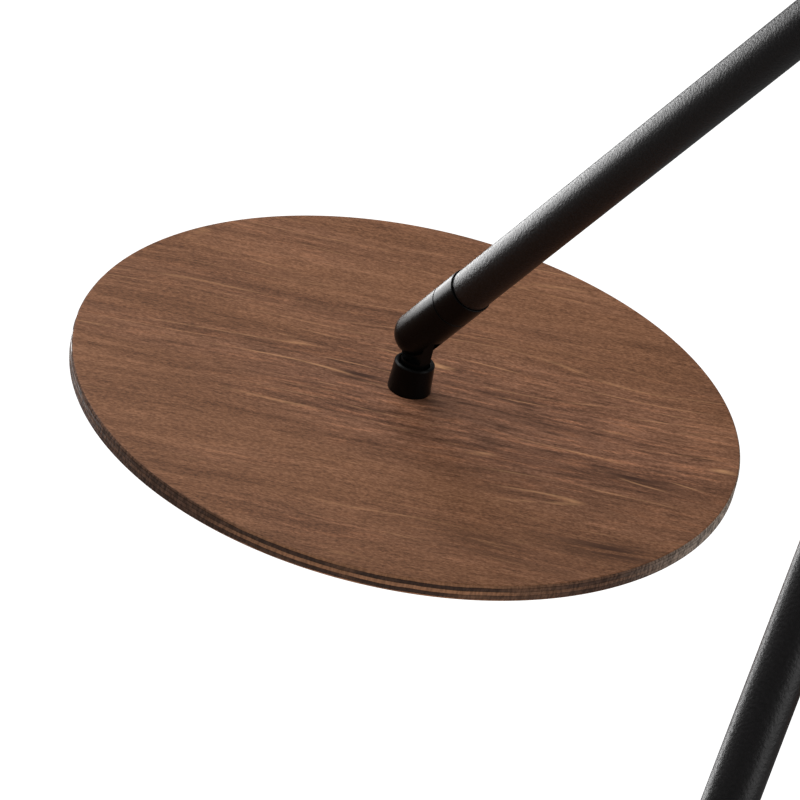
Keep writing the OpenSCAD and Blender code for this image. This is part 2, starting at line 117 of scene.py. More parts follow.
DISC_LOW, _, DISC_R = reach("disc_1", disc_frame(1))
TUBE_LOW, TUBE_HIGH, TUBE_R = reach("arm_tube_1", arm_frame(1))
KNUCKLE_LOW, KNUCKLE_HIGH, KNUCKLE_R = reach("knuckle_body_1", arm_frame(1))
ADAPTER_LOW, ADAPTER_HIGH, _ = reach("swivel_adapter_1", arm_frame(1))
_, PIN_HIGH, _ = reach("pivot_pin_1", arm_frame(1))
_, CUP_HIGH, CUP_R = reach("cup_1", disc_frame(1))
LAMP_LOW, LAMP_HIGH, LAMP_R = reach("lamp_body_1", disc_frame(1))
LENS_LOW, LENS_HIGH, LENS_R = reach("lamp_lens_1", disc_frame(1))


# Colours and sizes that a user would change

def linear(code):
    """An sRGB hex colour as linear red, green, blue and alpha."""
    parts = [int(code[i:i + 2], 16) / 255 for i in (0, 2, 4)]
    return (*(c / 12.92 if c <= 0.04045 else ((c + 0.055) / 1.055) ** 2.4 for c in parts), 1.0)


def length(name, description, default):
    """A length in metres."""
    return FloatProperty(name=name, description=description, default=default, min=0.0,
                         unit="LENGTH", subtype="DISTANCE", precision=5)


def colour(name, description, code):
    """A colour given as sRGB hex."""
    return FloatVectorProperty(name=name, description=description, default=linear(code), size=4,
                               min=0.0, max=1.0, subtype="COLOR")


def power(name, description, default):
    """The power of a light in watts."""
    return FloatProperty(name=name, description=description, default=default, min=0.0, unit="POWER")


class DiscSizes(PropertyGroup):
    diameter: length("Diameter", "Diameter of a disc shade", 2 * DISC_R)
    thickness: length("Thickness", "Thickness of the plywood", -DISC_LOW.z)
    hole: length("Hole", "Diameter of the hole for the stem", 10.6 * MM)
    edge: length("Edge", "Radius of the eased edges", 1.3 * MM)
    grain: FloatProperty(name="Grain", description="Direction of the face grain about the vertical",
                         default=math.radians(47.5), subtype="ANGLE", unit="ROTATION")
    mid: colour("Walnut stain", "Middle tone of the face veneer", "795239")
    dark: colour("Dark grain", "Tone of the dark grain lines", "563724")
    light: colour("Light grain", "Tone of the light grain lines", "94694d")
    pale: colour("Pale figure", "Tone of the pale figure lines", "c08f66")
    # Tone of the shadows painted on the veneer by the cup and under the joint and the arm
    deep: colour("Painted shadow", "Tone of the shadows painted on the veneer", "41291d")
    edge_dark: colour("End grain", "Tone of the plies cut across their grain", "3d2d26")
    # Painted light: the paler tone of the end grain at the end that faces the fill light
    edge_lit_end: colour("Lit end grain", "Tone of the painted light on the end that faces the fill", "8f8378")
    edge_light: colour("Long grain", "Tone of the plies cut along their grain", "93694d")


class ArmSizes(PropertyGroup):
    diameter: length("Diameter", "Diameter of an arm tube", 2 * TUBE_R)
    wall: length("Wall", "Wall of an arm tube", 1.5 * MM)
    lip: length("Lip", "Radius of the tube's lip", 0.5 * MM)
    coat: colour("Powder coat", "Colour of the black powder coat", "100e0f")


class KnuckleSizes(PropertyGroup):
    diameter: length("Diameter", "Diameter of the knuckle and the sleeve above it", 2 * KNUCKLE_R)
    slot: length("Slot", "Width of the fork's slot", 8.0 * MM)
    slot_top: length("Slot height", "Height of the slot's end above the pivot", 6.7 * MM)
    spigot: length("Spigot", "Diameter of the swivel spigot", 11 * MM)
    bore: length("Bore", "Diameter of the lead's bore", 6 * MM)
    pin: length("Pin", "Diameter of the tilt pin", 5 * MM)
    seam: length("Seam", "Radius of the edges at the swivel seam", 0.35 * MM)
    easing: length("Easing", "Width of the eased edges", 0.3 * MM)
    paint: colour("Paint", "Colour of the satin black paint", "050505")


class CupSizes(PropertyGroup):
    rim: length("Rim", "Diameter of the cup's rim", 18 * MM)
    recess: length("Recess", "Diameter of the recess round the neck", 14.0 * MM)
    hole: length("Hole", "Diameter of the hole for the stem", 10.1 * MM)
    floor: length("Floor", "Thickness of the cup's floor", 2.5 * MM)
    bevel: length("Bevel", "Bevel of the cup's rim", 0.7 * MM)
    soft: length("Edge", "Radius of the cup's edges", 0.15 * MM)


class LampSizes(PropertyGroup):
    edge: length("Edge", "Radius of the lamp's edges", 1.5 * MM)
    lens_edge: length("Lens edge", "Radius of the lens's edge", 1.2 * MM)
    boss: length("Boss", "Diameter of the lamp's boss", 41 * MM)
    wall: length("Wall", "Thickness of the housing and width of the lens's ledge", 3 * MM)
    shell: colour("Housing", "Colour of the lamp's housing", "e6e1d6")
    lens: colour("Lens", "Colour of the opal lens", "f6f4ee")


class ScrewSizes(PropertyGroup):
    head: length("Head", "Height of a pan head", 2.4 * MM)
    shank: length("Shank", "Diameter of a shank", 4 * MM)
    easing: length("Easing", "Width of the eased edges", 0.15 * MM)


class StageSizes(PropertyGroup):
    floor_drop: length("Floor drop", "Distance of the floor below the ceiling", 7.0)
    floor_side: length("Floor side", "Side of the floor", 80.0)
    key: power("Key", "Power of the large soft light", 14.0)
    top: power("Top", "Power of the light overhead", 23.0)
    rim: power("Rim", "Power of the light behind and below", 36.0)
    fill: power("Fill", "Power of the fill light", 10.0)
    room: FloatProperty(name="Room", description="Strength of the even light of the room", default=0.2)


class LightSizes(PropertyGroup):
    disc: PointerProperty(type=DiscSizes)
    arm: PointerProperty(type=ArmSizes)
    knuckle: PointerProperty(type=KnuckleSizes)
    cup: PointerProperty(type=CupSizes)
    lamp: PointerProperty(type=LampSizes)
    screw: PointerProperty(type=ScrewSizes)
    stage: PointerProperty(type=StageSizes)
    steps: IntProperty(name="Steps", description="Steps round a turned piece", default=160, min=24)


# Shapes

def rounded(corner_list, pieces=6):
    """A closed section whose corners (radius, height, fillet) become arcs."""
    section = []
    for i, (x, y, fillet) in enumerate(corner_list):
        here = Vector((x, y))
        if not fillet:
            section.append(here)
            continue
        before = (Vector(corner_list[i - 1][:2]) - here).normalized()
        after = (Vector(corner_list[(i + 1) % len(corner_list)][:2]) - here).normalized()
        half = before.angle(after) / 2
        centre = here + (before + after).normalized() * fillet / math.sin(half)
        start = here + before * fillet / math.tan(half) - centre
        end = here + after * fillet / math.tan(half) - centre
        sweep = start.angle(end)
        for n in range(pieces + 1):
            part = n / pieces * sweep
            arm = start * math.sin(sweep - part) + end * math.sin(part)
            section.append(centre + arm / math.sin(sweep))
    return section


def turned(section, steps):
    """A mesh made by turning a closed section about Z."""
    shape = bmesh.new()
    rings = []
    for radius, height in section:
        if radius < 1e-7:
            rings.append([shape.verts.new((0, 0, height))] * steps)
            continue
        rings.append([shape.verts.new((radius * math.cos(t), radius * math.sin(t), height))
                      for t in (2 * math.pi * i / steps for i in range(steps))])
    for ring, following in zip(rings, rings[1:] + rings[:1]):
        for i in range(steps):
            j = (i + 1) % steps
            face = list(dict.fromkeys((ring[i], ring[j], following[j], following[i])))
            if len(face) > 2:
                shape.faces.new(face)
    return closed_mesh(shape)


def closed_mesh(shape):
    """A plain mesh from a bmesh, with its faces pointing outwards."""
    bmesh.ops.recalc_face_normals(shape, faces=shape.faces)
    mesh = bpy.data.meshes.new("shape")
    shape.to_mesh(mesh)
    shape.free()
    return mesh


def block(low, high):
    """A box between two corners."""
    shape = bmesh.new()
    bmesh.ops.create_cube(shape, size=1.0)
    for vert in shape.verts:
        vert.co = [low[i] + (vert.co[i] + 0.5) * (high[i] - low[i]) for i in range(3)]
    return closed_mesh(shape)


def rod(radius, start, end, steps):
    """A round bar between two points."""
    start, end = Vector(start), Vector(end)
    tall = (end - start).length
    mesh = turned([(0, 0), (radius, 0), (radius, tall), (0, tall)], steps)
    mesh.transform(Matrix.Translation(start) @ (end - start).to_track_quat("Z", "Y").to_matrix().to_4x4())
    return mesh


def shown(mesh, name="shape"):
    """An object that holds a mesh."""
    made = bpy.data.objects.new(name, mesh)
    bpy.context.scene.collection.objects.link(made)
    return made


def settled(made):
    """The plain mesh of an object with its modifiers applied; the object itself goes."""
    bpy.context.view_layer.update()
    seen = made.evaluated_get(bpy.context.evaluated_depsgraph_get())
    mesh = bpy.data.meshes.new_from_object(seen)
    bpy.data.objects.remove(made)
    return mesh


def cut(mesh, cutters):
    """A mesh with others taken out of it."""
    made = shown(mesh)
    tools = [shown(cutter, "cutter") for cutter in cutters]
    for tool in tools:
        step = made.modifiers.new("cut", "BOOLEAN")
        step.operation, step.solver, step.object = "DIFFERENCE", "EXACT", tool
    result = settled(made)
    for tool in tools:
        bpy.data.objects.remove(tool)
    return result


def joined(mesh):
    """A mesh with its doubles merged and its flat neighbours made one face."""
    shape = bmesh.new()
    shape.from_mesh(mesh)
    bmesh.ops.remove_doubles(shape, verts=shape.verts, dist=DOUBLES)
    bmesh.ops.dissolve_limit(shape, angle_limit=math.radians(0.2), verts=shape.verts, edges=shape.edges)
    return closed_mesh(shape)


def eased(mesh, width, angle=math.radians(32)):
    """A mesh with its sharp edges eased by a small bevel and its flats kept flat."""
    mesh.shade_smooth()
    made = shown(mesh)
    if width:
        step = made.modifiers.new("easing", "BEVEL")
        step.width, step.segments, step.limit_method = width, 2, "ANGLE"
        step.angle_limit, step.use_clamp_overlap = angle, True
    mesh = settled(made)
    mesh.shade_smooth()
    mesh.set_sharp_from_angle(angle=angle)
    made = shown(mesh)
    step = made.modifiers.new("flats", "WEIGHTED_NORMAL")
    step.mode, step.keep_sharp = "FACE_AREA", True
    return settled(made)


def spun(section, steps, pieces=6):
    """A turned piece from the corners (radius, height, fillet) of its section."""
    return eased(turned(rounded(section, pieces), steps), 0)


def solids(node):
    """The middle and the half size of each separate solid of a CAD node."""
    shape = bmesh.new()
    shape.from_mesh(frame["nodes"][node].data)
    bmesh.ops.remove_doubles(shape, verts=shape.verts, dist=DOUBLES)
    waiting, found = set(shape.verts), []
    while waiting:
        group, edge = [], [waiting.pop()]
        while edge:
            vert = edge.pop()
            group.append(vert.co.copy())
            for link in vert.link_edges:
                other = link.other_vert(vert)
                if other in waiting:
                    waiting.remove(other)
                    edge.append(other)
        low, high = corners(group)
        found.append(((low + high) / 2, (high - low) / 2))
    shape.free()
    return found


def place_piece(name, mesh, place, body, slot, coat, *nodes):
    """Puts a copy of a mesh where it belongs, to ride on a body in the place of CAD nodes."""
    mesh = mesh.copy()
    mesh.name = name
    mesh.transform(place)
    if coat:
        mesh.materials.clear()
        mesh.materials.append(coat)
    made = shown(mesh, name)
    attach(made, body)
    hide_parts(*nodes)
    return made


def dress(name, node, easing, body, slot, coat):
    """Puts a merged copy of a CAD node in its place, eased by some millimetres, in a finish."""
    mesh = eased(joined(frame["nodes"][node].data), easing * MM)
    place_piece(name, mesh, Matrix(), body, slot, finish(coat), node)


# Nodes

def add(tree, kind, inputs=None, **settings):
    """Adds a node with its settings, and sets or links its inputs."""
    made = tree.nodes.new(kind)
    for name, value in settings.items():
        setattr(made, name, value)
    for name, value in (inputs or {}).items():
        if isinstance(value, bpy.types.NodeSocket):
            tree.links.new(value, made.inputs[name])
        else:
            made.inputs[name].default_value = value
    return made


def maths(tree, operation, *values, clamp=False):
    """The result of an operation on values or sockets."""
    return add(tree, "ShaderNodeMath", dict(enumerate(values)), operation=operation, use_clamp=clamp).outputs[0]


def vector(tree, **parts):
    """A vector from its parts X, Y and Z."""
    return add(tree, "ShaderNodeCombineXYZ", parts).outputs[0]


def part_of(tree, value, axis):
    """One part of a vector."""
    return add(tree, "ShaderNodeSeparateXYZ", {"Vector": value}).outputs[axis]


def new_tree(name, sockets):
    """A Geometry Nodes tree with named inputs, and the sockets that give them."""
    tree = bpy.data.node_groups.new(name, "GeometryNodeTree")
    tree.interface.new_socket("Geometry", in_out="INPUT", socket_type="NodeSocketGeometry")
    for kind, labels in sockets.items():
        for label in labels:
            tree.interface.new_socket(label, in_out="INPUT", socket_type=f"NodeSocket{kind}")
    tree.interface.new_socket("Geometry", in_out="OUTPUT", socket_type="NodeSocketGeometry")
    return tree, add(tree, "NodeGroupInput").outputs


def grown(tree, start, values):
    """The mesh that a Geometry Nodes tree makes from a starting mesh and its named inputs."""
    made = shown(start)
    step = made.modifiers.new("grow", "NODES")
    step.node_group = tree
    names = {item.name: item.identifier for item in tree.interface.items_tree if item.in_out == "INPUT"}
    for name, value in values.items():
        step[names[name]] = value
    return settled(made)


def ring_tree():
    """Tree for turned rings: a rounded section swept round a circle, upright faces in their own material."""
    tree, given = new_tree("turned_ring", {
        "Float": ("Outer diameter", "Inner diameter", "Height", "Edge radius"), "Int": ("Steps",),
        "Material": ("Face material", "Side material")})
    outer, inner = given["Outer diameter"], given["Inner diameter"]
    wide = maths(tree, "MULTIPLY", maths(tree, "SUBTRACT", outer, inner), 0.5)
    radius = maths(tree, "MULTIPLY", maths(tree, "ADD", outer, inner), 0.25)
    section = add(tree, "GeometryNodeCurvePrimitiveQuadrilateral",
                  {"Width": wide, "Height": given["Height"]}, mode="RECTANGLE")
    soft = add(tree, "GeometryNodeFilletCurve",
               {"Curve": section.outputs["Curve"], "Count": 5, "Radius": given["Edge radius"],
                "Limit Radius": True}, mode="POLY")
    path = add(tree, "GeometryNodeCurvePrimitiveCircle",
               {"Resolution": given["Steps"], "Radius": radius}, mode="RADIUS")
    swept = add(tree, "GeometryNodeCurveToMesh",
                {"Curve": path.outputs["Curve"], "Profile Curve": soft.outputs["Curve"]})
    whole = add(tree, "GeometryNodeRealizeInstances", {"Geometry": swept.outputs["Mesh"]})
    faces = add(tree, "GeometryNodeSetMaterial",
                {"Geometry": whole.outputs["Geometry"], "Material": given["Face material"]})
    rise = part_of(tree, add(tree, "GeometryNodeInputNormal").outputs["Normal"], "Z")
    upright = maths(tree, "LESS_THAN", maths(tree, "ABSOLUTE", rise), 0.75)
    sides = add(tree, "GeometryNodeSetMaterial",
                {"Geometry": faces.outputs["Geometry"], "Selection": upright,
                 "Material": given["Side material"]})
    add(tree, "NodeGroupOutput", {"Geometry": sides.outputs["Geometry"]})
    return tree


def screw_tree():
    """Tree for cross-slotted pan-head screws that stand on given points and face along their directions."""
    tree, given = new_tree("pan_head_screws", {
        "Float": ("Head diameter", "Head height", "Shank diameter", "Shank length"), "Material": ("Material",)})

    def share(name, part):
        """A part of a given size."""
        return maths(tree, "MULTIPLY", given[name], part)

    head = add(tree, "GeometryNodeMeshCone",
               {"Vertices": 40, "Side Segments": 1, "Radius Top": share("Head diameter", 0.4),
                "Radius Bottom": share("Head diameter", 0.5), "Depth": given["Head height"]})
    recess = add(tree, "GeometryNodeMeshBoolean", {"Mesh 1": head.outputs["Mesh"]},
                 operation="DIFFERENCE", solver="EXACT")
    wide, long = share("Head diameter", 0.16), share("Head diameter", 0.62)
    lifted = vector(tree, Z=share("Head height", 0.95))
    for x, y in ((long, wide), (wide, long)):
        bar = add(tree, "GeometryNodeMeshCube", {"Size": vector(tree, X=x, Y=y, Z=given["Head height"])})
        high = add(tree, "GeometryNodeTransform", {"Geometry": bar.outputs["Mesh"], "Translation": lifted})
        tree.links.new(high.outputs["Geometry"], recess.inputs["Mesh 2"])
    shank = add(tree, "GeometryNodeMeshCylinder",
                {"Vertices": 24, "Radius": share("Shank diameter", 0.5), "Depth": given["Shank length"]})
    below = add(tree, "GeometryNodeTransform",
                {"Geometry": shank.outputs["Mesh"], "Translation": vector(tree, Z=share("Shank length", -0.5))})
    screw = add(tree, "GeometryNodeJoinGeometry")
    tree.links.new(recess.outputs["Mesh"], screw.inputs["Geometry"])
    tree.links.new(below.outputs["Geometry"], screw.inputs["Geometry"])
    facing = add(tree, "GeometryNodeInputNamedAttribute", {"Name": "facing"}, data_type="FLOAT_VECTOR")
    turn = add(tree, "FunctionNodeAlignRotationToVector", {"Vector": facing.outputs["Attribute"]}, axis="Z")
    stood = add(tree, "GeometryNodeInstanceOnPoints",
                {"Points": given["Geometry"], "Instance": screw.outputs["Geometry"],
                 "Rotation": turn.outputs["Rotation"]})
    whole = add(tree, "GeometryNodeRealizeInstances", {"Geometry": stood.outputs["Instances"]})
    dressed = add(tree, "GeometryNodeSetMaterial",
                  {"Geometry": whole.outputs["Geometry"], "Material": given["Material"]})
    add(tree, "NodeGroupOutput", {"Geometry": dressed.outputs["Geometry"]})
    return tree


# Materials

BLACK, WHITE = ZERO, ONE
WOOD_GLOSS = {"IOR": 1.5, "Specular IOR Level": 0.1}

# Noises of the veneer: size along and across the grain in millimetres, and detail. The fibres and the pores are
# drawn coarser than real ones, to show
GRAIN = {"bands": (120, 16, 3), "streaks": (55, 2.6, 4), "fibres": (1.5, 0.6, 2), "pores": (8, 0.9, 0),
         "breaks": (40, 4.0, 2), "figure": (300, 40, 1), "clouds": (80, 10, 4), "zones": (95, 30, 1),
         "wisps": (19, 2.2, 4)}

# The belt by the cup where the veneer is liveliest, and the painted shadows by the cup and towards the far edge,
# patches of a deeper tone where the cup, the joint and the arm shade the veneer: place along and across the grain
# from the middle of the first disc, half length and half width, all in millimetres, and strength
BELT = (-42, 14, 150, 62, 1.5)
PAINTED_SHADOWS = ((20, -1, 18, 6.5, 1.3), (-66, 4, 36, 10, 1.2), (-92, 98, 36, 13, 1.1), (-100, 36, 28, 9, 1.1),
           (-50, -9, 22, 5.5, 0.9), (-45, 115, 62, 18, 0.6))

# Heights of the glue lines between the five plies, and half the thickness of one, as shares of the plywood's
GLUE_LINES = (0.16, 0.38, 0.62, 0.84)
GLUE_HALF = 0.016


def material(name):
    """A new material with its tree, its shader and its Object coordinates."""
    made = bpy.data.materials.new(name)
    made.use_nodes = True
    tree = made.node_tree
    tree.nodes.clear()
    shader = add(tree, "ShaderNodeBsdfPrincipled")
    add(tree, "ShaderNodeOutputMaterial", {"Surface": shader.outputs["BSDF"]})
    return made, tree, shader, add(tree, "ShaderNodeTexCoord").outputs["Object"]


def mapped(tree, place, size, turn=ZERO, middle=ZERO):
    """Coordinates about a middle, turned, with units of the given size in millimetres along each axis."""
    return add(tree, "ShaderNodeMapping",
               {"Vector": place, "Location": middle, "Rotation": turn, "Scale": [s * MM for s in size]},
               vector_type="TEXTURE").outputs[0]


def noise(tree, place, detail):
    """Noise with grains one unit wide."""
    return add(tree, "ShaderNodeTexNoise", {"Vector": place, "Scale": 1.0, "Detail": detail}).outputs["Fac"]


def strip(tree, value, stops, interpolation="LINEAR"):
    """The colour at a value of a ramp with stops (place, colour)."""
    made = add(tree, "ShaderNodeValToRGB", {"Fac": value})
    band = made.color_ramp
    band.interpolation = interpolation
    while len(band.elements) < len(stops):
        band.elements.new(1.0)
    for element, (place, tone) in zip(band.elements, stops):
        element.position, element.color = place, (*tone[:3], 1.0)
    return made.outputs["Color"]


def carried(tree, value, low, high, to_low=0.0, to_high=1.0, kind="LINEAR"):
    """A value carried from one range to another."""
    return add(tree, "ShaderNodeMapRange",
               {"Value": value, "From Min": low, "From Max": high, "To Min": to_low, "To Max": to_high},
               interpolation_type=kind).outputs[0]


def between(tree, factor, first, second):
    """A value between two others."""
    return add(tree, "ShaderNodeMix", {"Factor": factor, 2: first, 3: second}).outputs[0]


def blended(tree, factor, first, second, blend="MIX"):
    """A colour between two others, or one laid on the other."""
    return add(tree, "ShaderNodeMix", {"Factor": factor, 6: first, 7: second},
               data_type="RGBA", blend_type=blend).outputs[2]


def surface(tree, shader, tone, rough, relief, strength, depth, values):
    """Links tone, roughness and relief to a shader, with the relief's depth in millimetres, and sets its values."""
    bump = add(tree, "ShaderNodeBump", {"Height": relief, "Strength": strength, "Distance": depth * MM})
    for name, socket in (("Base Color", tone), ("Roughness", rough), ("Normal", bump.outputs[0])):
        tree.links.new(socket, shader.inputs[name])
    for name, value in values.items():
        shader.inputs[name].default_value = value


def walnut_veneer(sizes):
    """Walnut stain on rotary-cut birch veneer: an even brown with fine fibres, short pores and pale figure, and
    shadows painted on the first disc.
    """
    made, tree, shader, place = material("walnut_stained_veneer")
    turn = (0.0, 0.0, sizes.grain)
    middle = disc_frame(1).translation

    # The grain sways by up to 6 mm
    sway = add(tree, "ShaderNodeTexNoise",
               {"Vector": mapped(tree, place, (90, 40, 1000), turn), "Scale": 1.0, "Detail": 1.0})
    lean = add(tree, "ShaderNodeVectorMath", {0: sway.outputs["Color"], 1: (0.5, 0.5, 0.5)}, operation="SUBTRACT")
    shift = add(tree, "ShaderNodeVectorMath", {0: lean.outputs[0], "Scale": 12 * MM}, operation="SCALE")
    swayed = add(tree, "ShaderNodeVectorMath", {0: place, 1: shift.outputs[0]}, operation="ADD").outputs[0]
    noises = {name: noise(tree, mapped(tree, swayed, (along, across, 1000), turn), detail)
              for name, (along, across, detail) in GRAIN.items()}

    def spot(along, across, half_long, half_wide):
        """A spot that fades from 1 in its middle to 0 at its edge."""
        out = Matrix.Rotation(sizes.grain, 3, "Z") @ Vector((along, across, 0)) * MM
        at = mapped(tree, swayed, (half_long, half_wide, 1000), turn, middle + out)
        return add(tree, "ShaderNodeTexGradient", {"Vector": at}, gradient_type="SPHERICAL").outputs["Fac"]

    # Even brown of bands, streaks and fibres, a little deeper in cloudy patches
    coarse = between(tree, 0.55, noises["bands"], noises["streaks"])
    level = between(tree, 0.6, coarse, noises["fibres"])
    brown = strip(tree, level, ((0.34, sizes.dark), (0.50, sizes.mid), (0.66, sizes.light)))
    cloudy = strip(tree, noises["clouds"], ((0.34, (0.74, 0.72, 0.71)), (0.56, WHITE)))
    tone = blended(tree, 0.8, brown, cloudy, "MULTIPLY")

    # Dark and pale wisps, mostly in the belt
    patchy = carried(tree, noises["zones"], 0.46, 0.66, 0.12, 0.5)
    lively = maths(tree, "MULTIPLY_ADD", spot(*BELT[:4]), BELT[4], patchy, clamp=True)
    wisps = strip(tree, noises["wisps"], (
        (0.32, (0.48, 0.47, 0.51)), (0.46, (0.95, 0.96, 1.09)), (0.54, (0.98, 0.99, 1.13)),
        (0.66, (1.55, 1.52, 1.62))))
    tone = blended(tree, lively, tone, wisps, "MULTIPLY")

    # Painted shadow: patches of the deeper tone by the cup and under the joint and the arm, torn along the streaks
    tears = carried(tree, noises["streaks"], 0.42, 0.56)
    for *where, strength in PAINTED_SHADOWS:
        torn = maths(tree, "MULTIPLY", spot(*where), tears)
        tone = blended(tree, maths(tree, "MULTIPLY", torn, strength, clamp=True), tone, tuple(sizes.deep))

    # Figure: thin pale lines about 12 mm apart where a stretched noise passes even levels, broken up, in some zones
    lanes = part_of(tree, mapped(tree, swayed, ONE, turn, middle), "Y")
    levels = maths(tree, "MULTIPLY_ADD", noises["figure"], 10.0, maths(tree, "MULTIPLY", lanes, 1 / 12))
    lines = strip(tree, maths(tree, "FRACT", levels), ((0.0, BLACK), (0.43, BLACK), (0.5, WHITE), (0.57, BLACK)))
    zones = strip(tree, noises["zones"], ((0.40, BLACK), (0.52, WHITE)))
    breaks = strip(tree, noises["breaks"], ((0.44, BLACK), (0.60, (0.9, 0.9, 0.9))))
    figure = maths(tree, "MULTIPLY", lines, maths(tree, "MULTIPLY", zones, lively))
    tone = blended(tree, maths(tree, "MULTIPLY", figure, breaks), tone, tuple(sizes.pale))

    # Pores: dark dashes
    dashes = strip(tree, noises["pores"], ((0.62, WHITE), (0.74, (0.55, 0.52, 0.50))))
    tone = blended(tree, 0.45, tone, dashes, "MULTIPLY")
    rough = carried(tree, noises["fibres"], 0.3, 0.7, 0.50, 0.62)
    surface(tree, shader, tone, rough, maths(tree, "ADD", dashes, noises["fibres"]), 0.3, 0.05, WOOD_GLOSS)
    return made


def plywood_edge(sizes):
    """Sanded and stained plywood edge: five plies whose end grain drinks the stain, with paler long grain."""
    made, tree, shader, place = material("plywood_edge")
    dark, light, pale = tuple(sizes.edge_dark), tuple(sizes.edge_light), tuple(sizes.edge_lit_end)
    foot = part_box("disc_1")[0].z
    height = part_of(tree, mapped(tree, place, (1000, 1000, sizes.thickness / MM), middle=(0.0, 0.0, foot)), "Z")
    wander = carried(tree, noise(tree, mapped(tree, place, (9, 9, 9)), 2.0), 0.0, 1.0, -0.04, 0.04)
    level = maths(tree, "ADD", height, wander)
    with_face, glue = [(0.0, WHITE)], [(0.0, WHITE)]
    for i, at in enumerate(GLUE_LINES):
        with_face.append((at, WHITE if i % 2 else BLACK))
        glue += [(at - GLUE_HALF, (0.42, 0.38, 0.36)), (at + GLUE_HALF, WHITE)]
    lengthwise = strip(tree, level, with_face, "CONSTANT")
    glue_lines = strip(tree, level, glue, "CONSTANT")

    # The attribute nears 1 and -1 at the two ends where the rim cuts the face plies across their grain. There the
    # plies differ less and both ends soak up stain. The second end faces the fill light and is painted paler at its
    # very end, which is painted light
    end = add(tree, "ShaderNodeAttribute", attribute_name="end_grain").outputs["Fac"]
    across = maths(tree, "ABSOLUTE", end)
    half = maths(tree, "MULTIPLY", across, 0.5)
    ends = between(tree, lengthwise, maths(tree, "SUBTRACT", 1.0, half), half)
    drift = noise(tree, mapped(tree, place, (28, 28, 8)), 2.0)
    worn = between(tree, carried(tree, drift, 0.36, 0.58, 0.2, 1.0), 0.5, ends)
    plies = blended(tree, worn, light, dark)
    soaked = blended(tree, carried(tree, across, 0.02, 0.35, 0.0, 0.7, "SMOOTHSTEP"), plies, dark)
    # Painted light: the end that faces the fill light is made paler
    painted_light_end = blended(tree, carried(tree, end, -0.35, -0.9, 0.0, 0.9, "SMOOTHSTEP"), soaked, pale)
    glued = blended(tree, 1.0, painted_light_end, glue_lines, "MULTIPLY")

    # Cut fibres stand upright in the end grain, drawn 1.2 mm wide, coarser than real to show
    hatch = noise(tree, mapped(tree, place, (1.2, 1.2, 3.0)), 2.0)
    shade = strip(tree, hatch, ((0.38, (0.3, 0.28, 0.27)), (0.62, (1.45, 1.42, 1.4))))
    tone = blended(tree, carried(tree, across, 0.0, 1.0, 0.3, 0.95), glued, shade, "MULTIPLY")

    # Saw lines run along the rim, about 1 mm apart, and take more or less of the polish
    saw = noise(tree, mapped(tree, place, (14, 14, 1.1)), 3.0)
    rough = carried(tree, saw, 0.36, 0.58, 0.28, 0.9)
    surface(tree, shader, tone, rough, maths(tree, "ADD", hatch, saw), 0.8, 0.3, WOOD_GLOSS)
    return made


def grained(name, tone, size, detail, shades, rough, relief, values):
    """A material whose shade, roughness and relief follow one noise with grains of a size in millimetres."""
    made, tree, shader, place = material(name)
    grain = noise(tree, mapped(tree, place, size), detail)
    stops = [(at, [share * c for c in tone[:3]]) for at, share in zip((0.3, 0.7), shades)]
    surface(tree, shader, strip(tree, grain, stops), carried(tree, grain, *rough), grain, *relief, values)
    return made


def metal(name, code, grain, rough):
    """Plated or bare metal: fine scratches and patches of sheen."""
    return grained(name, linear(code), (8 * grain, grain, grain), 3.0, (0.82, 1.0), (0.3, 0.7, *rough),
                   (0.2, 0.03), {"Metallic": 1.0})


def moulded(name, tone, grain, rough, ior=1.5):
    """Moulded or pressed stuff: an even colour with a fine grain left by the tool."""
    return grained(name, tone, (grain, grain, grain), 2.0, (0.9, 1.0), (0.3, 0.7, *rough),
                   (0.2, 0.05), {"IOR": ior})


def finish(name):
    """A finish of this light, made when it is first asked for."""
    if name in bpy.data.materials:
        return bpy.data.materials[name]
    sizes = bpy.context.scene.ceiling_light
    makers = {
        "walnut_stained_veneer": lambda: walnut_veneer(sizes.disc),
        "plywood_edge": lambda: plywood_edge(sizes.disc),
        # Black polyester powder coat, baked: an orange peel with a soft sheen, drawn 1.2 mm wide, coarser than real
        "powder_coat_black": lambda: grained(
            name, sizes.arm.coat, (1.2, 1.2, 1.2), 2.0, (0.7, 1.3), (0.0, 1.0, 0.30, 0.46), (0.8, 0.22),
            {"IOR": 1.5, "Specular IOR Level": 0.36}),
        # Satin black wet paint on turned metal: smoother than the powder coat, with faint turning lines
        "satin_black_paint": lambda: grained(
            name, sizes.knuckle.paint, (4.0, 4.0, 0.4), 2.0, (0.85, 1.2), (0.0, 1.0, 0.24, 0.34), (0.15, 0.03),
            {"IOR": 1.5, "Specular IOR Level": 0.12}),
        # Bright zinc plate on pressed steel, bare turned brass
        "zinc_plated_steel": lambda: metal(name, "c4c7ca", 0.5, (0.28, 0.42)),
        "turned_brass": lambda: metal(name, "d9b25c", 0.4, (0.22, 0.36)),
        # Ivory polycarbonate, black phenolic resin, opal polycarbonate, vulcanised fibre, PVC sheath
        "ivory_polycarbonate": lambda: moulded(name, sizes.lamp.shell, 0.8, (0.34, 0.46), 1.58),
        "black_phenolic": lambda: moulded(name, linear("1a1919"), 0.6, (0.38, 0.52), 1.6),
        "opal_polycarbonate": lambda: moulded(name, sizes.lamp.lens, 0.5, (0.40, 0.50), 1.58),
        "vulcanised_fibre": lambda: moulded(name, linear("6c6c6e"), 0.4, (0.60, 0.75)),
        "grey_sheath": lambda: moulded(name, linear("77787a"), 0.9, (0.40, 0.55), 1.53),
    }
    return makers[name]()


# Operators

